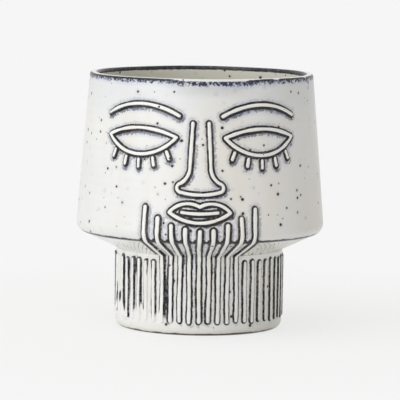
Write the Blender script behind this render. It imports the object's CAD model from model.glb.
"""Head planter, dressed: fine closed meshes for each clay piece, in a speckled white glaze that breaks dark.

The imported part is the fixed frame. Each clay piece is modelled again in its place: the head and the neck are
turned from their profiles, and the ribs, the beard and the lines of the face are strands raised from the skin
of the pot. Every mesh carries its distance in millimetres to the edges where the glaze breaks, and the glaze
materials read those distances. Metres, +Z up, face towards -Y.
"""

import math

import bmesh
import bpy
import numpy as np
from bpy.props import FloatProperty, FloatVectorProperty, IntProperty, PointerProperty
from mathutils import Matrix, Vector, kdtree


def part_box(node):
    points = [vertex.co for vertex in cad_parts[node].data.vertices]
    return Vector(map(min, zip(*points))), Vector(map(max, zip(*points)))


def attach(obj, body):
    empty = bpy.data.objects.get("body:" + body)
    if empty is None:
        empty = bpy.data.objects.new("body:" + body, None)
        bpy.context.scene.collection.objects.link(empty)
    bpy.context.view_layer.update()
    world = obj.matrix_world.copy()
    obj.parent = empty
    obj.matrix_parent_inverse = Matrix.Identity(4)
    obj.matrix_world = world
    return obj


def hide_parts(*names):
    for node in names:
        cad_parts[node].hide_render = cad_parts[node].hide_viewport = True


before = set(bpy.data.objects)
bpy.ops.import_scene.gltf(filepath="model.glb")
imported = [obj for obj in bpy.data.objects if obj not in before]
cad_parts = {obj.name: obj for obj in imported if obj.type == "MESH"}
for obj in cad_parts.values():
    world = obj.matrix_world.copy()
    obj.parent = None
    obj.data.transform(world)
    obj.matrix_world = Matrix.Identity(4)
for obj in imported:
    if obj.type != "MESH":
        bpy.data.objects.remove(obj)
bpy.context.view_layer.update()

bl_info = {
    "name": "Head planter",
    "version": (1, 0, 0),
    "blender": (4, 5, 0),
    "location": "3D View > Sidebar > Planter",
    "description": "Builds a glazed stoneware head planter around its packed CAD frame",
    "category": "Object",
}

HEAD_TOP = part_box("head_bowl")[1]
NECK_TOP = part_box("neck_foot")[1]
MM = 0.001
FAR = 100.0  # millimetres; a distance at which no edge counts
LINE_STEP = 0.25 * MM  # spacing of the points along a strand's middle line
FINE_FRONT = math.radians(80)  # half of the front of the head, where the mesh is fine
LAMPS = {  # place and width in metres, and tint
    "key": ((-1.44, -1.67, 0.48), 2.0, (1.0, 1.0, 1.0)),
    "top": ((-0.70, -0.40, 2.1), 2.0, (1.0, 1.0, 1.0)),
    "fill": ((1.6, -1.5, 0.4), 1.6, (1.0, 0.89, 0.66)),
}


def size(name, default, description):
    """A size in metres that a user may change."""
    return FloatProperty(name=name, description=description, default=default, unit="LENGTH", precision=5)


def turn(name, degrees, description):
    """An angle that a user may change."""
    return FloatProperty(name=name, description=description, default=math.radians(degrees), subtype="ANGLE")


def colour(name, default, description):
    """A colour, in linear light, that a user may change."""
    return FloatVectorProperty(
        name=name, description=description, default=default, subtype="COLOR", size=3, min=0.0, max=1.0
    )


def how_many(name, default, least, description):
    """A number of like things that a user may change."""
    return IntProperty(name=name, description=description, default=default, min=least)


def power(name, default, description):
    """The power of a lamp, in watts, that a user may change."""
    return FloatProperty(name=name, description=description, default=default, unit="POWER")


class PotSizes(bpy.types.PropertyGroup):
    """Sizes of the head and the neck."""

    height: size("Height", HEAD_TOP.z, "From the base to the lip")
    rim_radius: size("Rim radius", 0.072, "Outer radius at the lip")
    rim_round: size("Lip rounding", 0.0018, "Rounding of both edges of the lip")
    lip_dip: size("Lip dip", 0.0004, "How far the hand-made lip dips below its full height")
    jaw_radius: size("Jaw radius", 0.0804, "Where wall and underside would meet if the jaw were sharp")
    jaw_rise: size("Jaw rise", 0.0126, "From the joint with the neck up to the sharp jaw")
    jaw_round: size("Jaw rounding", 0.007, "Rounding of the jaw")
    trim_step: size("Trim step", 0.0002, "How far the underside is trimmed back behind the jaw")
    neck_radius: size("Neck radius", NECK_TOP.x, "Outer radius of the neck")
    neck_height: size("Neck height", NECK_TOP.z, "Height of the joint between neck and head")
    wall: size("Wall", 0.0055, "Thickness of the walls")
    inner_round: size("Inner rounding", 0.006, "Rounding inside the jaw")
    floor: size("Floor", 0.008, "Height of the floor of the hollow")
    floor_round: size("Floor rounding", 0.005, "Rounding round the floor of the hollow")
    base_round: size("Base rounding", 0.0045, "Rounding of the lower edge of the neck")
    foot_width: size("Foot ring", 0.008, "Width of the foot ring")
    foot_recess: size("Foot recess", 0.002, "Depth of the recess inside the foot ring")
    bend: size("Strand bend", 0.0015, "Rounding of a strand that turns from the neck to the underside")
    fine_step: size("Fine step", 0.0007, "Spacing of the mesh where strands lie")
    coarse_step: size("Coarse step", 0.003, "Spacing of the mesh inside and at the back")


class StrandSizes(bpy.types.PropertyGroup):
    """Sizes of the ribs, the beard and the strands of the face."""

    face_width: size("Face strand width", 0.0026, "Width of a face strand at its foot")
    rise: size("Strand rise", 0.001, "How far a strand stands out of the wall")
    rib_count: how_many("Ribs", 56, 8, "Places for ribs round the neck")
    rib_width: size("Rib width", 0.003, "Width of a rib at its foot")
    rib_bottom: size("Rib bottom", 0.0073, "Height of the lower end of the ribs")
    rib_margin: size("Rib margin", 0.003, "Bare band between the plain ribs and the head")
    beard_count: how_many("Beard strands", 9, 3, "Ribs that climb over the jaw")
    beard_gap: size("Beard gap", 0.0022, "Bare wall between the lower lip and the middle strand")
    beard_sweep: size("Beard sweep", 0.014, "How much higher the outermost strands reach")
    root: size("Strand root", 0.0006, "How far a strand reaches into the wall")
    groove: size("Foot groove", 0.0002, "Depth of the tool mark along the foot of a strand")
    step: size("Strand step", 0.00034, "Spacing of the mesh on a strand")
    rib_step: size("Rib step", 0.00062, "Spacing of the mesh along the upright ribs")


class FaceSizes(bpy.types.PropertyGroup):
    """Places and sizes of the lines of the face."""

    chin_margin: size("Chin margin", 0.0029, "Bare wall between the rounding of the jaw and the lower lip")
    mouth_width: size("Mouth width", 0.038, "From corner to corner")
    lip_peak: size("Lip peak", 0.0055, "Height of the bow of the upper lip")
    lip_spacing: size("Lip peak spacing", 0.015, "Between the two peaks of the upper lip")
    lip_dip: size("Lip dip", 0.002, "Depth of the dip between the peaks")
    lip_fall: size("Lower lip", 0.0065, "Depth of the lower lip")
    line_length: size("Mouth line", 0.025, "Length of the line between the lips")
    line_sag: size("Mouth line sag", 0.0008, "How far the line between the lips sags")
    nose_gap: size("Nose gap", 0.0028, "Bare wall between the lips and the nose")
    nose_start: size("Nose start", 0.0107, "How far above the eyes the sides of the nose begin")
    bridge_width: size("Bridge width", 0.010, "Between the sides of the nose at the top")
    waist_width: size("Nose waist", 0.013, "Between the sides of the nose above the flare")
    nose_flare: size("Nose flare", 0.015, "Height of the flare above the foot of the wings")
    wing_width: size("Wing width", 0.029, "Across the wings of the nose")
    wing_depth: size("Wing depth", 0.0056, "Height of the rounded wings")
    wing_bulge: size("Wing bulge", 0.0024, "How far the wings bulge sideways")
    tip_drop: size("Nose tip", 0.0016, "How far the tip hangs below the wings")
    eye_level: FloatProperty(
        name="Eye level", description="Height of the eyes, as a share of the way from jaw to rim",
        default=0.62, min=0.0, max=1.0, subtype="FACTOR",
    )
    eye_gap: size("Eye gap", 0.002, "Bare wall, seen from the front, between the nose and the nearest lash")
    eye_length: size("Eye length", 0.048, "From corner to corner of an eye")
    eye_corner: size("Eye corner rise", 0.002, "Height of the corners over the middle of an eye")
    lid_crease: size("Lid crease", 0.007, "Height of the crease over the middle of an eye")
    lid_fall: size("Lid fall", 0.0095, "Depth of the lash line below the middle of an eye")
    lash_count: how_many("Lashes", 5, 1, "Lashes below each lid")
    lash_gap: size("Lash gap", 0.0008, "Bare wall between the lid and a lash")
    lash_length: size("Lash length", 0.007, "Length of a lash")
    lash_fan: turn("Lash fan", 11, "Turn from one lash to the next")
    brow_gap: size("Brow gap", 0.0059, "From the top of the lid up to the level of the brow's ends")
    brow_length: size("Brow length", 0.050, "From end to end of a brow")
    brow_arch: size("Brow arch", 0.0065, "Height of the arch of a brow")


class GlazeColours(bpy.types.PropertyGroup):
    """Colours of the glaze and of the clay."""

    white: colour("White", (0.82, 0.825, 0.82), "Glaze on the head's outer wall")
    crest: colour("Crest", (0.90, 0.90, 0.885), "Thick glaze on the strands, the lip and the neck")
    cloud: colour("Cloud", (0.74, 0.76, 0.79), "Cool cloudy patches and runs in the white")
    warm: colour("Warm", (0.81, 0.79, 0.745), "Cream patches in the white")
    inside: colour("Inside", (0.76, 0.75, 0.69), "Glaze on the inner walls")
    ink: colour("Ink", (0.009, 0.010, 0.017), "Glaze where it breaks over an edge")
    ink_brown: colour("Brown ink", (0.022, 0.017, 0.015), "Browner stretches of a broken edge")
    grain: colour("Grain", (0.024, 0.029, 0.066), "Blue grains beside a broken edge")
    halo: colour("Halo", (0.41, 0.46, 0.66), "Blue that bleeds from a broken edge")
    iron: colour("Iron", (0.030, 0.022, 0.020), "Iron speckles")
    clay: colour("Bare clay", (0.070, 0.046, 0.032), "Unglazed clay on the foot")


class StageSettings(bpy.types.PropertyGroup):
    """Camera, light and floor."""

    camera_distance: size("Camera distance", 2.05, "From the pot's axis to the camera")
    camera_height: size("Camera height", 0.2910, "Of the camera over the floor")
    aim_height: size("Aim height", 0.0812, "Of the point in the middle of the picture")
    view_angle: turn("View angle", 7.17, "Across the picture")
    roll: turn("Roll", 0.80, "Turn of the picture")
    pale: colour("Pale", (0.9216, 0.9216, 0.9216), "Floor and background, as the camera sees them")
    paper: colour("Paper", (0.97, 0.97, 0.97), "Floor, as it lights the pot from below")
    sky: colour("Sky", (0.425, 0.416, 0.395), "Light from all round")
    key: power("Key", 22.0, "Power of the key light")
    top: power("Top", 20.0, "Power of the top light")
    fill: power("Fill", 2.0, "Power of the fill light")


def unit(vector):
    """The vector at length one."""
    return vector / np.linalg.norm(vector)


def run_along(path):
    """Way from the start of a path to each of its points."""
    return np.concatenate([[0], np.cumsum(np.linalg.norm(np.diff(path, axis=0), axis=1))])


def corner_arc(before, corner, after, rounding, step):
    """Points of the arc that rounds a corner between two straight runs."""
    if rounding == 0:
        return [corner]
    back = unit(before - corner)
    forth = unit(after - corner)
    half = math.acos(back @ forth) / 2
    centre = corner + unit(back + forth) * rounding / math.sin(half)
    start = corner + back * rounding / math.tan(half) - centre
    end = corner + forth * rounding / math.tan(half) - centre
    bend = math.pi - 2 * half
    count = max(4, round(bend * rounding / step))
    return [
        centre + (math.sin((1 - share) * bend) * start + math.sin(share * bend) * end) / math.sin(bend)
        for share in np.linspace(0, 1, count + 1)
    ]


def rounded_path(corners, step):
    """Points along straight runs of radius and height, with each corner rounded by its third number."""
    spots = [np.array(corner[:2]) for corner in corners]
    stops = [spots[0]]
    for number in range(1, len(corners) - 1):
        stops += corner_arc(spots[number - 1], spots[number], spots[number + 1], corners[number][2], step)
    stops.append(spots[-1])
    path = []
    for start, end in zip(stops, stops[1:]):
        parts = max(1, round(np.linalg.norm(end - start) / step))
        path += [start + (end - start) * part / parts for part in range(parts)]
    return np.array(path + [stops[-1]])


def wall_lean(pot):
    """How much wider the head's wall gets for each metre down."""
    return (pot.jaw_radius - pot.rim_radius) / (pot.height - pot.neck_height - pot.jaw_rise)


def wall_radius(pot, height):
    """Outer radius of the head's straight wall at a height."""
    return pot.rim_radius + (pot.height - height) * wall_lean(pot)


def hand_wobble(angle, height):
    """How far the potter's hand left the wall inside its true size: slow waves and faint throwing rings."""
    oval, twist, ring = 0.15 * MM, 0.10 * MM, 0.03 * MM
    ring_spacing = 5.5 * MM
    slow = oval * np.sin(2 * angle + 0.6) + twist * np.sin(3 * angle - 31.0 * height)
    rings = ring * np.sin(height / ring_spacing * math.tau + 2 * np.sin(angle))
    return slow + rings - (oval + twist + ring)


def lip_sag(pot, angle, height):
    """How far the lip dips below its full height, fading out a little way down the wall."""
    reach = 15 * MM
    near = np.clip(1 - (pot.height - height) / reach, 0, 1)
    return pot.lip_dip * (0.5 + 0.5 * np.sin(2 * angle + 1.1) * np.cos(3 * angle)) * near ** 2


def around(radius, angle, height):
    """Points at an angle round the axis, counted from the front towards the viewer's right."""
    full_wobble = 20 * MM
    radius = radius + hand_wobble(angle, height) * np.minimum(1, radius / full_wobble)
    return np.stack([radius * np.sin(angle), -radius * np.cos(angle), height + 0 * angle], axis=-1)


class Skin:
    """Outer face of the pot from the lip's crest to the foot, as a run along its profile."""

    def __init__(self, pot):
        self.path = rounded_path(
            [
                (pot.rim_radius - pot.wall / 2, pot.height, 0),
                (pot.rim_radius, pot.height, pot.rim_round),
                (pot.jaw_radius, pot.neck_height + pot.jaw_rise, pot.jaw_round),
                (pot.neck_radius, pot.neck_height, pot.bend),
                (pot.neck_radius, 0, pot.base_round),
                (pot.neck_radius - pot.foot_width / 2, 0, 0),
            ],
            pot.fine_step,
        )
        along = np.gradient(self.path, axis=0)
        along /= np.linalg.norm(along, axis=1)[:, None]
        self.normals = np.stack([-along[:, 1], along[:, 0]], axis=1)
        self.run = run_along(self.path)

    def run_at(self, height):
        """Run at which the profile passes a height."""
        return np.interp(-np.asarray(height), -self.path[:, 1], self.run)

    def place(self, angle, run, lift):
        """Points on the skin, or a lift away from it along its normal."""
        radius, height = (np.interp(run, self.run, self.path[:, axis]) for axis in (0, 1))
        out, up = (np.interp(run, self.run, self.normals[:, axis]) for axis in (0, 1))
        return around(radius + out * lift, angle, height + up * lift)


def new_piece(context, node, material, points, faces, distances):
    """A smooth closed mesh that stands for a CAD node, with its distances stored in millimetres."""
    name = f"glazed_{node}"
    mesh = bpy.data.meshes.new(name)
    mesh.from_pydata([tuple(point) for point in points], [], faces)
    for label, values in distances.items():
        layer = mesh.attributes.new(label, "FLOAT", "POINT")
        layer.data.foreach_set("value", np.asarray(values, dtype=np.float32))
    form = bmesh.new()
    form.from_mesh(mesh)
    bmesh.ops.remove_doubles(form, verts=form.verts, dist=0.001 * MM)
    bmesh.ops.recalc_face_normals(form, faces=form.faces)
    if any(not edge.is_manifold for edge in form.edges):
        raise RuntimeError(f"{name} isn't closed")
    form.to_mesh(mesh)
    form.free()
    mesh.polygons.foreach_set("use_smooth", [True] * len(mesh.polygons))
    mesh.materials.append(material)
    piece = bpy.data.objects.new(name, mesh)
    context.scene.collection.objects.link(piece)
    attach(piece, "root")
    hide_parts(node)


def strand_swell(point):
    """Factor by which a strand is wider or narrower than its true size at a point."""
    most = 0.08
    across, _, up = point
    return 1 + most * math.sin(across * 410 + up * 530) * math.sin(up * 290 + 1.0)


class LineField:
    """Distance from any point to the nearest edge of a set of strands."""

    def __init__(self, strands):
        self.tree = kdtree.KDTree(sum(len(line) for line, half in strands))
        self.reach = []
        for line, half in strands:
            for point in line:
                self.tree.insert(Vector(point), len(self.reach))
                self.reach.append(half * strand_swell(point))
        self.tree.balance()

    def measure(self, points):
        """Gap in metres, negative on a strand, and how far to its lower right a point lies, from -1 to 1."""
        flat = np.asarray(points).reshape(-1, 3)
        gap = np.empty(len(flat))
        side = np.empty(len(flat))
        lower_right = Vector((0.5, 0.0, -0.87))
        for number, point in enumerate(flat):
            spot = Vector(point)
            nearest, index, away = self.tree.find(spot)
            gap[number] = away - self.reach[index]
            side[number] = (spot - nearest).normalized().dot(lower_right)
        shape = np.asarray(points).shape[:-1]
        return gap.reshape(shape), side.reshape(shape)


def strand_lift(gap, strands):
    """Height of a strand over the wall, by how far inside its edge a point lies: steep flanks, flat crest."""
    outer = 0.25 * MM
    shoulder = 0.75 * MM
    steepness = 2.2
    inside = np.clip((outer - gap) / (outer + shoulder), 0, 1)
    return -strands.root + (strands.rise + strands.root) * (1 - (1 - inside) ** steepness)


def foot_groove(gap, strands):
    """Depth of the fine groove that the modelling tool leaves along the foot of a strand."""
    width = 1.3 * MM
    share = np.clip(gap / width, 0, 1)
    return strands.groove * np.sin(share * math.pi)


def without_pinches(cells):
    """The cells, with a pair that touches at a corner only filled up to a block of four."""
    cells = cells.copy()
    while True:
        a, b, c, d = cells[:-1, :-1], cells[1:, :-1], cells[:-1, 1:], cells[1:, 1:]
        pinched = (a & d & ~b & ~c) | (b & c & ~a & ~d)
        if not pinched.any():
            return cells
        for block in (a, b, c, d):
            block |= pinched


def strand_patch(skin, line, half, strands, down_step):
    """Closed mesh of one strand: the cells of the skin that it covers, raised over a floor in the wall."""
    angles = np.unwrap(np.arctan2(line[:, 0], -line[:, 1]))
    radius = np.hypot(line[:, 0], line[:, 1]).min()
    runs = skin.run_at(line[:, 2])
    edge = 2 * strands.step  # points this near to the strand still belong to it
    margin = half + 2 * edge
    across = np.arange(angles.min() - margin / radius, angles.max() + margin / radius, strands.step / radius)
    down = np.arange(runs.min() - margin, runs.max() + margin, down_step)
    angle, run = np.meshgrid(across, down, indexing="ij")
    gap, side = LineField([(line, half)]).measure(skin.place(angle, run, 0 * run))
    covered = gap < edge
    cells = covered[:-1, :-1] | covered[1:, :-1] | covered[:-1, 1:] | covered[1:, 1:]
    top = skin.place(angle, run, strand_lift(gap, strands))
    floor = skin.place(angle, run, 0 * run - 2 * strands.root)
    return patch_mesh(top, floor, without_pinches(cells), gap, side)


def patch_mesh(top, floor, cells, gap, side):
    """Points, faces, gaps and sides of a raised patch: top cells, floor cells and the rim between them."""
    numbers = np.arange(gap.size).reshape(gap.shape)
    below = numbers + gap.size
    faces = []
    edges = set()
    for row, column in zip(*np.nonzero(cells)):
        corners = [(row, column), (row + 1, column), (row + 1, column + 1), (row, column + 1)]
        faces.append([numbers[corner] for corner in reversed(corners)])
        faces.append([below[corner] for corner in corners])
        for start, end in zip(corners, corners[1:] + corners[:1]):
            if (end, start) in edges:
                edges.remove((end, start))
            else:
                edges.add((start, end))
    faces += [[numbers[start], numbers[end], below[end], below[start]] for start, end in sorted(edges)]
    used = np.unique(np.concatenate(faces))
    renumber = np.zeros(2 * gap.size, dtype=int)
    renumber[used] = np.arange(len(used))
    points = np.concatenate([top.reshape(-1, 3), floor.reshape(-1, 3)])[used]
    gaps, sides = (np.tile(values.reshape(-1), 2)[used] for values in (gap, side))
    return points, [renumber[face].tolist() for face in faces], gaps, sides


def strand_piece(context, node, lines, width, down_step):
    """One piece made of a strand for each line."""
    scene = context.scene
    skin, strands = Skin(scene.planter_pot), scene.planter_strands
    points, faces, gaps, sides = [], [], [], []
    count = 0
    for line in lines:
        patch_points, patch_faces, gap, side = strand_patch(skin, line, width / 2, strands, down_step)
        points.append(patch_points)
        faces += [[number + count for number in face] for face in patch_faces]
        gaps.append(gap)
        sides.append(side)
        count += len(patch_points)
    distances = {"line_gap": np.concatenate(gaps) / MM, "line_side": np.concatenate(sides)}
    material = strand_glaze(scene)
    new_piece(context, node, material, np.concatenate(points), faces, distances)


def arc_points(centre, start, sweep):
    """Points of an arc that starts at a point and turns about a centre."""
    arm = np.asarray(start) - centre
    count = max(2, math.ceil(abs(sweep) * np.linalg.norm(arm) / LINE_STEP))
    turns = np.linspace(0, sweep, count + 1)
    along = np.stack([np.cos(turns), np.sin(turns)], axis=1)
    return centre + np.stack([along @ [arm[0], -arm[1]], along @ [arm[1], arm[0]]], axis=1)


def arc_through(start, middle, end):
    """Points of the arc through three points."""
    start, middle, end = (np.asarray(point, dtype=float) for point in (start, middle, end))
    rows = np.array([middle - start, end - start])
    centre = start + np.linalg.solve(2 * rows, (rows ** 2).sum(axis=1))
    first, second, third = (math.atan2(*(point - centre)[::-1]) for point in (start, middle, end))
    sweep = (third - first) % math.tau
    if (second - first) % math.tau > sweep:
        sweep -= math.tau
    return arc_points(centre, start, sweep)


def arc_from(start, end, heading):
    """Points of the arc that leaves a point along a heading and ends at another point."""
    chord = end - start
    forth = unit(heading)
    side = np.array([-forth[1], forth[0]])
    reach = chord @ chord / (2 * chord @ side)
    return arc_points(start + side * reach, start, 2 * math.atan2(chord @ side, chord @ forth))


def straight(start, end):
    """Points of a straight line."""
    count = max(2, math.ceil(np.linalg.norm(end - start) / LINE_STEP))
    return start + (end - start) * np.linspace(0, 1, count + 1)[:, None]


def mirrored(points):
    """The points with left and right exchanged."""
    return points * [-1, 1]


def laid_on_wall(points, angle, height, pot):
    """A flat line, drawn on the plane that touches the wall at one place, pressed on to the wall."""
    taper = math.atan(wall_lean(pot))
    radius = wall_radius(pot, height)
    touch = np.array([radius * math.sin(angle), -radius * math.cos(angle), height])
    sideways = np.array([math.cos(angle), math.sin(angle), 0])
    outwards = np.array(
        [math.sin(angle) * math.cos(taper), -math.cos(angle) * math.cos(taper), math.sin(taper)]
    )
    upwards = np.cross(outwards, sideways)
    spots = touch + points[:, :1] * sideways + points[:, 1:] * upwards
    presses = 12
    for _ in range(presses):
        short = np.hypot(spots[:, 0], spots[:, 1]) - wall_radius(pot, spots[:, 2])
        spots = spots - short[:, None] * outwards
    return spots


def face_levels(scene):
    """Heights of the mouth, the nose and the eyes, each set off from its neighbour."""
    face, pot, strand = scene.planter_face, scene.planter_pot, scene.planter_strands.face_width
    jaw = pot.neck_height + pot.jaw_rise
    lip_edge = jaw + pot.jaw_round + face.chin_margin
    mouth = lip_edge + strand / 2 + face.lip_fall
    nose_foot = mouth + face.lip_peak + strand + face.nose_gap + face.tip_drop
    eye = jaw + face.eye_level * (pot.height - jaw)
    return {
        "lip_edge": lip_edge,
        "mouth": mouth,
        "nose_foot": nose_foot,
        "eye": eye,
        "nose_top": eye + face.nose_start,
    }


def lid_arc(face, rise):
    """Arc between the corners of an eye, through a point over or under its middle."""
    half = face.eye_length / 2
    return arc_through((-half, face.eye_corner), (0, rise), (half, face.eye_corner))


def lid_line(face):
    """The crease and the lash line of a closed lid, as one strand."""
    return np.concatenate([lid_arc(face, face.lid_crease), lid_arc(face, -face.lid_fall)])


def lash_lines(face, strand):
    """Short strands that fan out below the lid."""
    lash_line = lid_arc(face, -face.lid_fall)
    lines = []
    for number in range(face.lash_count):
        foot = lash_line[round((number + 1) / (face.lash_count + 1) * (len(lash_line) - 1))]
        fan = (number - (face.lash_count - 1) / 2) * face.lash_fan
        along = np.array([math.sin(fan), -math.cos(fan)])
        start = foot + along * (strand + face.lash_gap)
        lines.append(straight(start, start + along * (face.lash_length - strand)))
    return lines


def brow_line(face, strand):
    """The arched strand over an eye."""
    half = face.brow_length / 2
    lift = face.lid_crease + strand + face.brow_gap
    return arc_through((-half, lift), (0, lift + face.brow_arch), (half, lift))


def nose_line(face, nose_length):
    """Two sides that run down from the bridge, flare to round wings and close under the tip."""
    foot = -nose_length / 2
    bridge = np.array([face.bridge_width / 2, nose_length / 2])
    waist = np.array([face.waist_width / 2, foot + face.nose_flare])
    wing = np.array([face.wing_width / 2, foot + face.wing_depth / 2])
    wing_top = wing + np.array([-face.wing_bulge, face.wing_depth / 2])
    wing_foot = wing - np.array([face.wing_bulge, face.wing_depth / 2])
    side = np.concatenate([
        straight(bridge, waist),
        arc_from(waist, wing_top, waist - bridge),
        arc_through(wing_top, wing, wing_foot),
    ])
    under = arc_through(wing_foot, (0, foot - face.tip_drop), mirrored(wing_foot))
    return np.concatenate([side, under, mirrored(side)])


def lip_line(face):
    """Outline of the closed mouth: a bow of two arcs above, one arc below."""
    corner = np.array([face.mouth_width / 2, 0])
    bow = arc_through(corner, (face.lip_spacing / 2, face.lip_peak), (0, face.lip_peak - face.lip_dip))
    return np.concatenate([bow, mirrored(bow), arc_through(corner, (0, -face.lip_fall), -corner)])


def mouth_line(face, strand):
    """The line between the lips."""
    half = (face.line_length - strand) / 2
    return arc_through((-half, 0), (0, -face.line_sag), (half, 0))


def eye_turn(face, strand, lashes, radius):
    """Angle from the middle of the face to the middle of an eye, whose lashes keep clear of the nose."""
    wing_edge = (face.wing_width + strand) / 2
    lash_edge = strand / 2 - min(line[:, 0].min() for line in lashes)
    return math.asin((wing_edge + face.eye_gap) / radius) + math.asin(lash_edge / radius)


def face_lines(scene):
    """Lines of the face on the wall, by the CAD node that they stand for."""
    face, pot, strand = scene.planter_face, scene.planter_pot, scene.planter_strands.face_width
    level = face_levels(scene)
    nose_rise = level["nose_top"] - level["nose_foot"]
    nose_length = nose_rise * math.hypot(1, wall_lean(pot))
    lashes = lash_lines(face, strand)
    drawn = {
        "nose": ([nose_line(face, nose_length)], 0, level["nose_foot"] + nose_rise / 2),
        "lips": ([lip_line(face)], 0, level["mouth"]),
        "mouth_line": ([mouth_line(face, strand)], 0, level["mouth"]),
    }
    angle = eye_turn(face, strand, lashes, wall_radius(pot, level["eye"]))
    for side, sign in (("right", -1), ("left", 1)):
        drawn[f"{side}_eyelid"] = ([lid_line(face)], sign * angle, level["eye"])
        drawn[f"{side}_lashes"] = (lashes, sign * angle, level["eye"])
        drawn[f"{side}_brow"] = ([brow_line(face, strand)], sign * angle, level["eye"])
    return {
        node: [laid_on_wall(line, angle, height, pot) for line in lines]
        for node, (lines, angle, height) in drawn.items()
    }


def upright_line(skin, angle, top, bottom, half):
    """A line down the skin that wanders a little, short of both ends by half a strand."""
    latest = 0.8 * MM
    sway = 0.005  # radians
    late = latest / 2 * (1 + math.sin(17 * angle))
    runs = np.arange(skin.run_at(top) + half + late, skin.run_at(bottom) - half - late, LINE_STEP)
    wander = sway * np.sin(runs * 120 + 23 * angle) * np.sin(runs * 45 + 11 * angle)
    return skin.place(angle + wander, runs, 0 * runs)


def beard_lines(scene):
    """Lines of the beard: longer towards the cheeks, so that they frame the mouth."""
    strands, skin = scene.planter_strands, Skin(scene.planter_pot)
    side = strands.beard_count // 2
    lowest = face_levels(scene)["lip_edge"] - strands.beard_gap
    lines = []
    for step in range(-side, side + 1):
        angle = step * math.tau / strands.rib_count
        top = lowest + strands.beard_sweep * (step / side) ** 2
        lines.append(upright_line(skin, angle, top, strands.rib_bottom, strands.rib_width / 2))
    return lines


def rib_lines(scene):
    """Lines of the plain ribs round the sides and the back of the neck."""
    strands, pot = scene.planter_strands, scene.planter_pot
    skin = Skin(pot)
    side = strands.beard_count // 2
    top = pot.neck_height - strands.rib_margin
    lines = []
    for step in range(side + 1, strands.rib_count - side):
        angle = step * math.tau / strands.rib_count
        lines.append(upright_line(skin, angle, top, strands.rib_bottom, strands.rib_width / 2))
    return lines


def ring_angles(fine, coarse, fine_half):
    """Angles round the pot: fine steps over the front, coarse steps over the rest."""
    front = np.linspace(-fine_half, fine_half, math.ceil(2 * fine_half / fine) + 1)
    rest = math.tau - 2 * fine_half
    back = np.linspace(fine_half, math.tau - fine_half, math.ceil(rest / coarse) + 1)
    return np.concatenate([front, back[1:-1]])


def turned_faces(rows, columns, closed):
    """Quads of a grid of points that closes round the axis and, if asked, along the profile too."""
    faces = []
    for row in range(rows if closed else rows - 1):
        following = (row + 1) % rows
        for column in range(columns):
            beside = (column + 1) % columns
            faces.append([
                row * columns + column, row * columns + beside,
                following * columns + beside, following * columns + column,
            ])
    return faces


def turned_piece(context, node, profile, angles, skin_rows, lines, closed, row_distances):
    """A piece turned from its profile, grooved along the strands on the rows of its outer skin."""
    scene = context.scene
    angle, radius = np.meshgrid(angles, profile[:, 0])
    height = np.repeat(profile[:, 1:], len(angles), axis=1)
    points = around(radius, angle, height)
    gap = np.full(angle.shape, FAR * MM)
    side = np.zeros(angle.shape)
    gap[skin_rows], side[skin_rows] = LineField(lines).measure(points[skin_rows])
    groove = foot_groove(gap, scene.planter_strands)
    points[..., 0] -= groove * np.sin(angle)
    points[..., 1] += groove * np.cos(angle)
    points[..., 2] -= lip_sag(scene.planter_pot, angle, height)
    distances = {label: np.repeat(values, len(angles)) for label, values in row_distances.items()}
    distances["line_gap"] = gap.reshape(-1) / MM
    distances["line_side"] = side.reshape(-1)
    faces = turned_faces(len(profile), len(angles), closed)
    material = wall_glaze(scene)
    new_piece(context, node, material, points.reshape(-1, 3), faces, distances)


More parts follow.
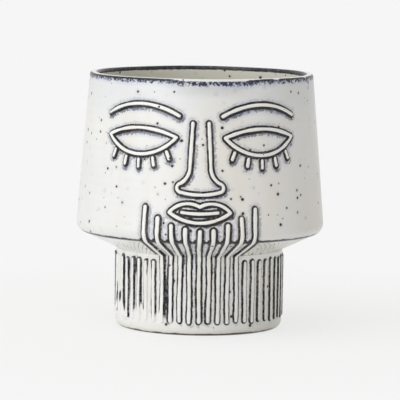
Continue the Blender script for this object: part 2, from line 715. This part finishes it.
class PLANTER_OT_head_bowl(bpy.types.Operator):
    """Turn the head: wall, lip, rounded jaw, underside and hollow"""

    bl_idname = "planter.head_bowl"
    bl_label = "Head bowl"

    def execute(self, context):
        scene = context.scene
        pot, strands = scene.planter_pot, scene.planter_strands
        outside, jaw_run = self.outer_path(pot)
        inside = self.inner_path(pot)
        runs = run_along(outside)
        inner_runs = run_along(inside)[1:-1]
        angles = ring_angles(pot.fine_step / pot.jaw_radius, pot.coarse_step / pot.jaw_radius, FINE_FRONT)
        lines = [(line, strands.face_width / 2) for group in face_lines(scene).values() for line in group]
        lines += [(line, strands.rib_width / 2) for line in beard_lines(scene)]
        row_distances = {
            "rim_gap": np.concatenate([runs[-1] - runs, -inner_runs]) / MM,
            "jaw_gap": np.concatenate([runs - jaw_run, np.full(len(inner_runs), FAR * MM)]) / MM,
            "foot_gap": np.full(len(runs) + len(inner_runs), FAR),
        }
        profile = np.concatenate([outside, inside[1:-1]])
        skin_rows = slice(0, len(outside))
        turned_piece(context, "head_bowl", profile, angles, skin_rows, lines, True, row_distances)
        return {"FINISHED"}

    def outer_path(self, pot):
        """Profile from the neck over the trimmed underside, jaw and wall to the lip, and the jaw's run."""
        jaw_height = pot.neck_height + pot.jaw_rise
        path = rounded_path(
            [
                (pot.neck_radius, pot.neck_height, 0),
                (pot.jaw_radius, jaw_height, pot.jaw_round),
                (pot.rim_radius, pot.height, pot.rim_round),
                (pot.rim_radius - pot.wall / 2, pot.height, 0),
            ],
            pot.fine_step,
        )
        slope = math.atan2(pot.jaw_rise, pot.jaw_radius - pot.neck_radius)
        bend = math.pi / 2 + math.atan(wall_lean(pot)) - slope
        underside = math.hypot(pot.jaw_radius - pot.neck_radius, pot.jaw_rise)
        jaw_run = underside - pot.jaw_round * math.tan(bend / 2)
        runs = run_along(path)
        edge = 0.6 * MM
        trimmed = pot.trim_step * np.clip((jaw_run - runs) / edge, 0, 1) * np.clip(runs / edge, 0, 1)
        path[:, 0] -= trimmed * math.sin(slope)
        path[:, 1] += trimmed * math.cos(slope)
        return path, jaw_run

    def inner_path(self, pot):
        """Profile from the lip down the hollow to the seat on the neck."""
        lean = wall_lean(pot)
        slope = pot.jaw_rise / (pot.jaw_radius - pot.neck_radius)
        inset = pot.wall * math.hypot(1, lean)
        bore = pot.neck_radius - pot.wall
        start = pot.neck_height - pot.neck_radius * slope + pot.wall * math.hypot(1, slope)
        inner_jaw = (wall_radius(pot, start) - inset) / (1 + lean * slope)
        return rounded_path(
            [
                (pot.rim_radius - pot.wall / 2, pot.height, 0),
                (pot.rim_radius - inset, pot.height, pot.rim_round),
                (inner_jaw, start + inner_jaw * slope, pot.inner_round),
                (bore, start + bore * slope, 0),
                (bore, pot.neck_height, 0),
                (pot.neck_radius, pot.neck_height, 0),
            ],
            pot.coarse_step,
        )


class PLANTER_OT_neck_foot(bpy.types.Operator):
    """Turn the neck: cup, floor and foot ring"""

    bl_idname = "planter.neck_foot"
    bl_label = "Neck and foot"

    def execute(self, context):
        scene = context.scene
        pot, strands = scene.planter_pot, scene.planter_strands
        bore = pot.neck_radius - pot.wall
        foot_inner = pot.neck_radius - pot.foot_width
        recess_round = 0.5 * MM
        below = rounded_path(
            [(0, pot.foot_recess, 0), (foot_inner, pot.foot_recess, recess_round), (foot_inner, 0, 0)],
            pot.coarse_step,
        )
        outside = rounded_path(
            [(foot_inner, 0, 0), (pot.neck_radius, 0, pot.base_round), (pot.neck_radius, pot.neck_height, 0)],
            pot.fine_step,
        )
        inside = rounded_path(
            [
                (pot.neck_radius, pot.neck_height, 0),
                (bore, pot.neck_height, 0),
                (bore, pot.floor, pot.floor_round),
                (0, pot.floor, 0),
            ],
            pot.coarse_step,
        )
        profile = np.concatenate([below[:-1], outside, inside[1:]])
        first, last = len(below) - 1, len(below) - 1 + len(outside)
        skin_rows = slice(first, last)
        inner_rows = len(profile) - last
        row_distances = {
            "rim_gap": np.concatenate([np.full(last, FAR), np.full(inner_rows, -FAR)]),
            "jaw_gap": np.full(len(profile), FAR),
            "foot_gap": np.concatenate([np.zeros(first), outside[:, 1] / MM, np.full(inner_rows, FAR)]),
        }
        step = pot.fine_step / pot.neck_radius
        angles = ring_angles(step, step, math.pi / 2)
        lines = [(line, strands.rib_width / 2) for line in rib_lines(scene) + beard_lines(scene)]
        turned_piece(context, "neck_foot", profile, angles, skin_rows, lines, False, row_distances)
        return {"FINISHED"}


class PLANTER_OT_neck_ribs(bpy.types.Operator):
    """Raise the plain ribs round the sides and the back of the neck"""

    bl_idname = "planter.neck_ribs"
    bl_label = "Neck ribs"

    def execute(self, context):
        scene = context.scene
        strands = scene.planter_strands
        strand_piece(context, "neck_ribs", rib_lines(scene), strands.rib_width, strands.rib_step)
        return {"FINISHED"}


class PLANTER_OT_beard_strands(bpy.types.Operator):
    """Raise the ribs that climb over the underside and the jaw"""

    bl_idname = "planter.beard_strands"
    bl_label = "Beard strands"

    def execute(self, context):
        scene = context.scene
        strands = scene.planter_strands
        strand_piece(context, "beard_strands", beard_lines(scene), strands.rib_width, strands.step)
        return {"FINISHED"}


class PLANTER_OT_face_strands(bpy.types.Operator):
    """Raise the nose, the mouth, the lids, the lashes and the brows"""

    bl_idname = "planter.face_strands"
    bl_label = "Face strands"

    def execute(self, context):
        scene = context.scene
        strands = scene.planter_strands
        for node, lines in face_lines(scene).items():
            strand_piece(context, node, lines, strands.face_width, strands.step)
        return {"FINISHED"}


class NodeSheet:
    """Short ways to add nodes to a node tree and join them."""

    def __init__(self, tree):
        self.tree = tree

    def add(self, kind, values=None, **settings):
        """A node with its settings, and with each input in values joined to a socket or set to a value."""
        node = self.tree.nodes.new(kind)
        for label, setting in settings.items():
            setattr(node, label, setting)
        for label, value in (values or {}).items():
            self.feed(node.inputs[label], value)
        return node

    def feed(self, socket, value):
        """Join a socket to another one, or set its value."""
        if isinstance(value, bpy.types.NodeSocket):
            self.tree.links.new(value, socket)
        elif socket.type == "RGBA":
            socket.default_value = (*value, 1.0)
        else:
            socket.default_value = value

    def math(self, operation, first, second=0.0):
        """Result of a sum on two values."""
        return self.add("ShaderNodeMath", {0: first, 1: second}, operation=operation).outputs[0]

    def fold(self, operation, values):
        """Result of a sum that is carried on from value to value."""
        result, *others = values
        for value in others:
            result = self.math(operation, result, value)
        return result

    def times(self, *values):
        """Product of some values."""
        return self.fold("MULTIPLY", values)

    def plus(self, *values):
        """Sum of some values."""
        return self.fold("ADD", values)

    def most(self, *values):
        """Largest of some values."""
        return self.fold("MAXIMUM", values)

    def minus(self, first, second):
        """One value less another."""
        return self.math("SUBTRACT", first, second)

    def less(self, value):
        """One less a value."""
        return self.minus(1.0, value)

    def smooth(self, value, low, high):
        """Zero at the low value, one at the high value, smooth between them."""
        limits = {"Value": value, "From Min": low, "From Max": high}
        return self.add("ShaderNodeMapRange", limits, interpolation_type="SMOOTHSTEP").outputs["Result"]

    def mix(self, factor, first, second):
        """A colour between two colours. The sockets go by number, because their names aren't unique."""
        return self.add("ShaderNodeMix", {0: factor, 6: first, 7: second}, data_type="RGBA").outputs[2]

    def coats(self, base, *coats):
        """A base colour under coats of other colours, each with the mask of what it covers."""
        for mask, coat in coats:
            base = self.mix(mask, base, coat)
        return base

    def place(self):
        """The point in the frame, in metres."""
        return self.add("ShaderNodeTexCoord").outputs["Object"]

    def axes(self):
        """X, Y and Z of the point in the frame, in metres."""
        return self.add("ShaderNodeSeparateXYZ", {0: self.place()}).outputs

    def noise(self, scale, detail, stretch=(1.0, 1.0, 1.0)):
        """Noise in the frame, in features for each metre, stretched along some axes."""
        place = self.add("ShaderNodeVectorMath", {0: self.place(), 1: stretch}, operation="MULTIPLY")
        values = {"Vector": place.outputs[0], "Scale": scale, "Detail": detail}
        return self.add("ShaderNodeTexNoise", values).outputs["Fac"]

    def distance(self, label):
        """A distance in millimetres that the mesh carries."""
        return self.add("ShaderNodeAttribute", attribute_name=label).outputs["Fac"]

    def use(self, tree, values):
        """Outputs of a group, with its inputs joined or set."""
        return self.add("ShaderNodeGroup", values, node_tree=tree).outputs


def node_group(name, inputs, outputs, draw):
    """A shader node group with number sockets, drawn once and then shared."""
    if name in bpy.data.node_groups:
        return bpy.data.node_groups[name]
    tree = bpy.data.node_groups.new(name, "ShaderNodeTree")
    for label, default in inputs.items():
        socket = tree.interface.new_socket(label, in_out="INPUT", socket_type="NodeSocketFloat")
        socket.default_value = default
    for label in outputs:
        tree.interface.new_socket(label, in_out="OUTPUT", socket_type="NodeSocketFloat")
    sheet = NodeSheet(tree)
    results = draw(sheet, sheet.add("NodeGroupInput").outputs)
    sheet.add("NodeGroupOutput", dict(zip(outputs, results)))
    return tree


def broken_edge_group():
    """Node group: where a glaze breaks dark along an edge, with blue grains and a blue bloom beside it."""
    inputs = {
        "Gap": 0.0, "From": -0.2, "To": 0.5, "Fade": 0.3,
        "Waver": 0.6, "Breaks": 0.3, "Reach": 4.0, "Density": 0.0,
    }

    def draw(sheet, given):
        fine = sheet.minus(sheet.noise(900, 2), 0.5)
        slow = sheet.minus(sheet.noise(130, 2), 0.5)
        waver = sheet.times(sheet.plus(fine, slow), given["Waver"])
        inner = sheet.plus(given["Gap"], sheet.times(waver, 0.35))
        outer = sheet.plus(given["Gap"], waver)
        begins = sheet.smooth(inner, sheet.minus(given["From"], 0.2), given["From"])
        ends = sheet.smooth(outer, given["To"], sheet.plus(given["To"], given["Fade"]))
        chips = sheet.plus(sheet.times(sheet.noise(420, 3), 0.6), sheet.times(sheet.noise(70, 2), 0.4))
        gaps = sheet.times(sheet.smooth(chips, 0.48, 0.62), given["Breaks"])
        line = sheet.times(begins, sheet.less(ends), sheet.less(gaps))
        beyond = sheet.smooth(outer, given["To"], sheet.plus(given["To"], given["Reach"]))
        fade = sheet.times(begins, sheet.less(beyond))
        blots = sheet.plus(sheet.times(sheet.noise(700, 3), 0.6), sheet.times(sheet.noise(280, 2), 0.4))
        spots = sheet.times(sheet.math("SQRT", fade), sheet.plus(blots, given["Density"]))
        grain = sheet.smooth(spots, 0.45, 0.60)
        bloom = sheet.times(fade, sheet.smooth(sheet.noise(60, 3), 0.3, 0.68))
        return line, grain, bloom

    return node_group("Broken edge", inputs, ("Line", "Grain", "Bloom"), draw)


def pooling_group():
    """Node group: how thick dark glaze gathers beside the strands, and where white glaze ran over them."""
    inputs = {"Joint": 0.05}  # height in metres of the joint between neck and head

    def draw(sheet, given):
        place = sheet.axes()
        above, below = sheet.plus(given["Joint"], 15 * MM), sheet.minus(given["Joint"], 1 * MM)
        neck = sheet.smooth(place["Z"], above, below)
        left = sheet.smooth(place["X"], 30 * MM, -35 * MM)
        streaks = sheet.smooth(sheet.noise(150, 2, (1.0, 1.0, 0.1)), 0.40, 0.58)
        slow = sheet.smooth(sheet.noise(22, 2), 0.38, 0.66)
        gathered = sheet.times(neck, streaks, sheet.plus(sheet.times(left, 0.75), 0.2))
        weight = sheet.plus(gathered, sheet.times(slow, 0.3, sheet.less(neck)))
        washed = sheet.smooth(sheet.noise(75, 3, (1.0, 1.0, 0.15)), 0.53, 0.64)
        uneven = sheet.times(sheet.noise(190, 1, (1.0, 1.0, 0.03)), 30 * MM)
        low = sheet.smooth(sheet.plus(place["Z"], uneven), 40 * MM, 18 * MM)
        far_left = sheet.smooth(place["X"], 6 * MM, -36 * MM)
        loss = sheet.times(neck, far_left, sheet.most(washed, low))
        return weight, loss, sheet.less(neck)

    return node_group("Glaze pooling", inputs, ("Weight", "Loss", "Head"), draw)


def iron_speckle_group():
    """Node group: sparse iron specks of mixed sizes, each in a faint stain."""
    inputs = {"Per metre": 150.0, "Radius": 0.8, "Share": 0.8}

    def draw(sheet, given):
        cells = sheet.add("ShaderNodeTexVoronoi", {"Vector": sheet.place(), "Scale": given["Per metre"]})
        chance = sheet.add("ShaderNodeSeparateColor", {"Color": cells.outputs["Color"]}).outputs
        away = sheet.math("DIVIDE", sheet.times(cells.outputs["Distance"], 1 / MM), given["Per metre"])
        ragged = sheet.times(sheet.minus(sheet.noise(1500, 1), 0.5), 0.4)
        away = sheet.plus(away, ragged)
        radius = sheet.times(sheet.plus(sheet.times(chance["Green"], 0.8), 0.5), given["Radius"])
        kept = sheet.math("LESS_THAN", chance["Red"], given["Share"])
        core = sheet.less(sheet.smooth(away, sheet.times(radius, 0.8), radius))
        stain = sheet.less(sheet.smooth(away, sheet.times(radius, 0.9), sheet.times(radius, 2.4)))
        return sheet.times(core, kept), sheet.times(stain, kept)

    return node_group("Iron speckle", inputs, ("Speck", "Stain"), draw)


def glaze_body_group():
    """Node group: clouds, cream patches, upright runs and the fine unevenness of a poured glaze."""

    def draw(sheet, given):
        runs = sheet.smooth(sheet.noise(170, 3, (1.0, 1.0, 0.05)), 0.52, 0.78)
        clouds = sheet.smooth(sheet.noise(26, 4), 0.5, 0.8)
        cloud = sheet.math("MINIMUM", sheet.plus(clouds, sheet.times(runs, given["Runs"])), 1.0)
        cream = sheet.smooth(sheet.noise(34, 2, (1.0, 1.0, 0.2)), 0.42, 0.70)
        return cloud, cream, sheet.noise(200, 2), sheet.noise(60, 2)

    return node_group("Glaze body", {"Runs": 0.5}, ("Cloud", "Cream", "Height", "Satin"), draw)


def strand_edges(sheet, pot):
    """The dark edges of the strands, heavier to their lower right and where glaze pools."""
    pool = sheet.use(pooling_group(), {"Joint": pot.neck_height})
    shaded = sheet.most(sheet.distance("line_side"), 0.0)
    reach = sheet.plus(0.45, sheet.times(pool["Head"], sheet.plus(0.3, sheet.times(shaded, 0.5))))
    edge = sheet.use(broken_edge_group(), {
        "Gap": sheet.distance("line_gap"),
        "From": sheet.minus(sheet.times(pool["Head"], 0.15), 0.35),
        "To": sheet.plus(reach, sheet.times(pool["Weight"], 0.85)),
        "Fade": 0.3, "Waver": 0.7,
        "Breaks": sheet.plus(0.15, sheet.times(pool["Loss"], 0.5)),
        "Reach": 4.4, "Density": 0.11,
    })
    kept = sheet.less(sheet.smooth(pool["Loss"], 0.40, 0.62))
    bloom = sheet.times(edge["Bloom"], sheet.plus(0.35, sheet.times(shaded, 0.65)))
    bloom = sheet.times(bloom, sheet.plus(0.2, sheet.times(pool["Head"], 0.8)))
    grain = sheet.times(edge["Grain"], kept, sheet.most(pool["Head"], pool["Weight"]))
    grain = sheet.times(grain, sheet.plus(0.25, sheet.times(shaded, 0.75)))
    return sheet.times(edge["Line"], kept), grain, bloom


def ink_colour(sheet, colours):
    """Blue-black that turns brown-black in places, with pale blue flecks."""
    flecks = sheet.smooth(sheet.noise(850, 2), 0.59, 0.72)
    return sheet.coats(
        colours.ink,
        (sheet.smooth(sheet.noise(45, 2), 0.4, 0.65), colours.ink_brown),
        (sheet.times(flecks, 0.28), colours.halo),
    )


def turn_angle(sheet):
    """Angle round the axis, counted from the front towards the viewer's right."""
    place = sheet.axes()
    return sheet.math("ARCTAN2", place["X"], sheet.times(place["Y"], -1.0))


def jaw_pools(sheet, jaw_gap, strands):
    """Dark glaze that gathers where the beard crosses the line of the jaw, and below its outer strands."""
    line_gap = sheet.distance("line_gap")
    beside_jaw = sheet.smooth(sheet.math("ABSOLUTE", sheet.minus(jaw_gap, 1.0)), 4.4, 0.8)
    corners = sheet.times(sheet.smooth(line_gap, 3.4, 0.6), beside_jaw)
    outermost = strands.beard_count // 2 * math.tau / strands.rib_count
    outside = sheet.math("GREATER_THAN", sheet.math("ABSOLUTE", turn_angle(sheet)), outermost)
    ragged = sheet.plus(line_gap, sheet.times(sheet.noise(400, 2), 1.2))
    below = sheet.times(outside, sheet.smooth(jaw_gap, 0.5, -0.5), sheet.smooth(ragged, 4.8, 3.6))
    return sheet.most(sheet.smooth(corners, 0.18, 0.34), below)


def lip_cover(sheet, pot):
    """Stretches of the lip where thick white glaze hides the dark line, and the smoky wall at the front."""
    front = (8 * MM, -pot.rim_radius, pot.height)
    away = sheet.add("ShaderNodeVectorMath", {0: sheet.place(), 1: front}, operation="DISTANCE")
    ragged = sheet.plus(away.outputs["Value"], sheet.times(sheet.noise(140, 3), 20 * MM))
    patches = sheet.smooth(sheet.noise(48, 2), 0.66, 0.72)
    smoke = sheet.smooth(ragged, 44 * MM, 20 * MM)
    return sheet.most(sheet.smooth(ragged, 40 * MM, 28 * MM), patches), smoke


def trim_scratches(sheet, jaw_gap, pot):
    """Scratches that the trimming tool left on the underside, in patches, slanting in towards the back."""
    spacing, waver = 4.2, 5.0  # millimetres
    slant = 0.9
    around_jaw = sheet.times(sheet.math("ABSOLUTE", turn_angle(sheet)), pot.jaw_radius / MM)
    unsteady = sheet.times(sheet.noise(60, 2), waver)
    slanted = sheet.plus(around_jaw, sheet.times(jaw_gap, slant), unsteady)
    strokes = sheet.smooth(sheet.math("SINE", sheet.times(slanted, math.tau / spacing)), 0.6, 1.0)
    patches = sheet.smooth(sheet.noise(75, 3), 0.38, 0.52)
    return sheet.times(strokes, patches, sheet.smooth(jaw_gap, -1.5, -4.0))


def new_material(name):
    """An empty material and its sheet."""
    material = bpy.data.materials.new(name)
    material.use_nodes = True
    material.node_tree.nodes.clear()
    return material, NodeSheet(material.node_tree)


def glaze_material(name, draw):
    """A glaze, drawn once and then shared: its colour, satin and relief on one Principled shader."""
    if name in bpy.data.materials:
        return bpy.data.materials[name]
    material, sheet = new_material(name)
    glaze, body, relief = draw(sheet)
    bump = sheet.add("ShaderNodeBump", {"Height": relief, "Distance": 0.12 * MM, "Strength": 0.25})
    shader = sheet.add("ShaderNodeBsdfPrincipled", {
        "Base Color": glaze,
        "Roughness": sheet.plus(sheet.times(body["Satin"], 0.12), 0.24),
        "Specular IOR Level": 0.3,
        "Normal": bump.outputs["Normal"],
    })
    sheet.add("ShaderNodeOutputMaterial", {"Surface": shader.outputs["BSDF"]})
    return material


def wall_glaze(scene):
    """Speckled white glaze of head and neck: dark at the lip, the jaw, the strands and the bare foot."""
    colours, pot, strands = scene.planter_colours, scene.planter_pot, scene.planter_strands

    def draw(sheet):
        body = sheet.use(glaze_body_group(), {"Runs": 0.6})
        specks = sheet.use(iron_speckle_group(), {"Per metre": 165.0, "Radius": 0.92, "Share": 0.62})
        dust = sheet.use(iron_speckle_group(), {"Per metre": 230.0, "Radius": 0.34, "Share": 0.3})
        rim_gap, jaw_gap, foot_gap = (sheet.distance(f"{edge}_gap") for edge in ("rim", "jaw", "foot"))
        line, grain, bloom = strand_edges(sheet, pot)
        cover, smoke = lip_cover(sheet, pot)
        lip = sheet.use(broken_edge_group(), {
            "Gap": sheet.minus(rim_gap, sheet.times(cover, 1.4)), "From": 2.0, "To": 3.3, "Fade": 0.5,
            "Waver": 0.9, "Breaks": 0.15, "Reach": 5.5, "Density": 0.07,
        })
        inner_lip = sheet.use(broken_edge_group(), {
            "Gap": sheet.times(rim_gap, -1.0), "From": 1.2, "To": 4.2, "Fade": 0.5,
            "Waver": 1.0, "Breaks": 0.05, "Reach": 1.5,
        })
        jaw = sheet.use(broken_edge_group(), {
            "Gap": jaw_gap, "From": -0.7, "To": 2.4, "Fade": 0.4,
            "Waver": 2.2, "Breaks": 0.12, "Reach": 2.0,
        })
        lip_line = sheet.times(lip["Line"], sheet.less(cover))
        line = sheet.most(line, lip_line, inner_lip["Line"], jaw["Line"], jaw_pools(sheet, jaw_gap, strands))
        grain = sheet.most(sheet.times(grain, 0.75), lip["Grain"])
        bloom = sheet.most(bloom, lip["Bloom"], sheet.times(jaw["Bloom"], 0.5))

        crest = sheet.less(sheet.smooth(sheet.math("ABSOLUTE", rim_gap), 1.5, 4.0))
        underside = sheet.smooth(jaw_gap, -1.0, -3.0)
        right = sheet.smooth(turn_angle(sheet), 0.1, 0.7)
        neck = sheet.smooth(foot_gap, 60.0, 55.0)
        near_foot = sheet.smooth(foot_gap, 8.0, 1.0)
        thin = sheet.most(sheet.times(near_foot, 0.6), sheet.times(underside, right, 0.45))
        scratches = trim_scratches(sheet, jaw_gap, pot)
        stain = sheet.most(specks["Stain"], dust["Stain"])
        wiped = sheet.plus(foot_gap, sheet.times(sheet.noise(160, 2), 1.6))
        glaze = sheet.coats(
            colours.white,
            (body["Cream"], colours.warm),
            (sheet.times(body["Cloud"], 0.5), colours.cloud),
            (sheet.times(sheet.smooth(rim_gap, 34.0, 6.0), 0.8), colours.cloud),
            (sheet.times(smoke, sheet.smooth(rim_gap, 16.0, 8.0), 0.16), colours.iron),
            (sheet.times(crest, 0.8), colours.crest),
            (sheet.smooth(rim_gap, -1.0, -3.0), colours.inside),
            (sheet.most(underside, sheet.times(neck, 0.8)), colours.crest),
            (thin, colours.inside),
            (sheet.times(scratches, 0.42), colours.clay),
            (sheet.times(bloom, 0.75), colours.halo),
            (sheet.times(stain, 0.12), colours.iron),
            (grain, colours.grain),
            (line, ink_colour(sheet, colours)),
            (sheet.most(specks["Speck"], dust["Speck"]), colours.iron),
            (sheet.smooth(wiped, 2.6, 2.1), colours.clay),
        )
        sunk = sheet.plus(sheet.times(line, 0.5), sheet.times(scratches, 0.6))
        return glaze, body, sheet.minus(body["Height"], sunk)

    return glaze_material("Speckled white glaze", draw)


def strand_glaze(scene):
    """Thick white glaze on the crest of a strand, dark along both flanks."""
    colours, pot = scene.planter_colours, scene.planter_pot

    def draw(sheet):
        body = sheet.use(glaze_body_group(), {"Runs": 0.2})
        specks = sheet.use(iron_speckle_group(), {"Per metre": 135.0, "Radius": 0.8, "Share": 0.5})
        line, grain, bloom = strand_edges(sheet, pot)
        glaze = sheet.coats(
            colours.crest,
            (sheet.times(body["Cream"], 0.5), colours.warm),
            (sheet.times(body["Cloud"], 0.25), colours.cloud),
            (sheet.times(bloom, 0.3), colours.halo),
            (sheet.times(grain, 0.5), colours.grain),
            (line, ink_colour(sheet, colours)),
            (specks["Speck"], colours.iron),
        )
        return glaze, body, sheet.minus(body["Height"], sheet.times(line, 0.5))

    return glaze_material("Strand glaze", draw)


def seen_plainly(sheet):
    """One for rays from the camera, straight or by way of gloss or glass."""
    light = sheet.add("ShaderNodeLightPath").outputs
    return sheet.most(light["Is Camera Ray"], light["Is Glossy Ray"], light["Is Transmission Ray"])


def floor_material(stage):
    """Pale paper floor: it shows its own colour to the camera and keeps the pot's soft shadow."""
    material, sheet = new_material("Pale floor")
    fibre_shade, shadow = 0.97, 0.2
    fibre = [fibre_shade * part for part in stage.paper]
    paper = sheet.mix(sheet.times(sheet.noise(300, 2), 0.2), stage.paper, fibre)
    matt = sheet.add("ShaderNodeBsdfPrincipled", {"Base Color": paper, "Roughness": 0.9})
    glow = sheet.add("ShaderNodeEmission", {"Color": stage.pale})
    away = sheet.add("ShaderNodeVectorMath", {0: sheet.place()}, operation="LENGTH").outputs["Value"]
    plain = sheet.plus(1 - shadow, sheet.times(sheet.smooth(away, 0.10, 0.40), shadow))
    both = sheet.add("ShaderNodeMixShader", {
        0: sheet.times(seen_plainly(sheet), plain),
        1: matt.outputs["BSDF"],
        2: glow.outputs["Emission"],
    })
    sheet.add("ShaderNodeOutputMaterial", {"Surface": both.outputs["Shader"]})
    return material


class PLANTER_OT_stage(bpy.types.Operator):
    """Set the floor, the soft light and the camera"""

    bl_idname = "planter.stage"
    bl_label = "Stage"

    def execute(self, context):
        scene = context.scene
        stage = scene.planter_stage
        self.add_floor(scene, stage)
        for name, (place, width, tint) in LAMPS.items():
            self.add_lamp(scene, name, place, width, getattr(stage, name), tint)
        self.light_world(scene, stage)
        self.add_camera(scene, stage)
        scene.view_settings.view_transform = "Standard"
        return {"FINISHED"}

    def add_floor(self, scene, stage):
        """A round floor that fills the picture, a hair below the foot so that the faces stay apart."""
        rings, columns = 24, 96
        sunk = 0.02 * MM
        middle, edge = 0.02, 14.0
        turns = np.linspace(0, math.tau, columns, endpoint=False)
        angle, radius = np.meshgrid(turns, np.linspace(middle, edge, rings))
        points = np.stack([radius * np.cos(angle), radius * np.sin(angle), 0 * angle - sunk], axis=-1)
        faces = turned_faces(rings, columns, False) + [list(range(columns))]
        mesh = bpy.data.meshes.new("floor")
        mesh.from_pydata([tuple(point) for point in points.reshape(-1, 3)], [], faces)
        mesh.materials.append(floor_material(stage))
        floor = bpy.data.objects.new("floor", mesh)
        scene.collection.objects.link(floor)

    def add_lamp(self, scene, name, place, width, power, tint):
        """A round soft lamp that faces the pot."""
        light = bpy.data.lights.new(name, "AREA")
        light.shape = "DISK"
        light.size = width
        light.energy = power
        light.color = tint
        lamp = bpy.data.objects.new(name, light)
        lamp.location = place
        aim = Vector((0, 0, scene.planter_pot.height / 2)) - Vector(place)
        lamp.rotation_euler = aim.to_track_quat("-Z", "Y").to_euler()
        scene.collection.objects.link(lamp)

    def light_world(self, scene, stage):
        """A pale sky to look at, and a softer warm one that lights the pot."""
        world = bpy.data.worlds.new("pale sky")
        scene.world = world
        world.use_nodes = True
        world.node_tree.nodes.clear()
        sheet = NodeSheet(world.node_tree)
        sky = sheet.mix(seen_plainly(sheet), stage.sky, stage.pale)
        background = sheet.add("ShaderNodeBackground", {"Color": sky})
        sheet.add("ShaderNodeOutputWorld", {"Surface": background.outputs["Background"]})

    def add_camera(self, scene, stage):
        """A camera at the photograph's viewing angle."""
        lens = bpy.data.cameras.new("camera")
        lens.sensor_fit = "HORIZONTAL"
        lens.angle = stage.view_angle
        camera = bpy.data.objects.new("camera", lens)
        camera.location = (0, -stage.camera_distance, stage.camera_height)
        aim = Vector((0, 0, stage.aim_height)) - camera.location
        facing = aim.to_track_quat("-Z", "Y").to_matrix()
        camera.rotation_euler = (facing @ Matrix.Rotation(stage.roll, 3, "Z")).to_euler()
        scene.collection.objects.link(camera)
        scene.camera = camera


class PLANTER_PT_panel(bpy.types.Panel):
    """Lists the pieces of the planter and their sizes"""

    bl_label = "Head planter"
    bl_idname = "PLANTER_PT_panel"
    bl_space_type = "VIEW_3D"
    bl_region_type = "UI"
    bl_category = "Planter"

    def draw(self, context):
        for operator in OPERATORS:
            self.layout.operator(operator.bl_idname)
        for label in GROUPS:
            group = getattr(context.scene, label)
            box = self.layout.box()
            for field in group.bl_rna.properties:
                if not field.is_readonly and field.identifier != "name":
                    box.prop(group, field.identifier)


OPERATORS = (
    PLANTER_OT_head_bowl,
    PLANTER_OT_neck_foot,
    PLANTER_OT_neck_ribs,
    PLANTER_OT_beard_strands,
    PLANTER_OT_face_strands,
    PLANTER_OT_stage,
)
GROUPS = {
    "planter_pot": PotSizes,
    "planter_strands": StrandSizes,
    "planter_face": FaceSizes,
    "planter_colours": GlazeColours,
    "planter_stage": StageSettings,
}


def register():
    """Make the sizes, the operators and the panel known."""
    for label, group in GROUPS.items():
        bpy.utils.register_class(group)
        setattr(bpy.types.Scene, label, PointerProperty(type=group))
    for kind in OPERATORS + (PLANTER_PT_panel,):
        bpy.utils.register_class(kind)


def unregister():
    """Take the panel, the operators and the sizes away again."""
    for kind in (PLANTER_PT_panel,) + OPERATORS:
        bpy.utils.unregister_class(kind)
    for label, group in GROUPS.items():
        delattr(bpy.types.Scene, label)
        bpy.utils.unregister_class(group)


def main():
    register()
    bpy.ops.planter.head_bowl()
    bpy.ops.planter.neck_foot()
    bpy.ops.planter.neck_ribs()
    bpy.ops.planter.beard_strands()
    bpy.ops.planter.face_strands()
    bpy.ops.planter.stage()


if __name__ == "__main__":
    main()
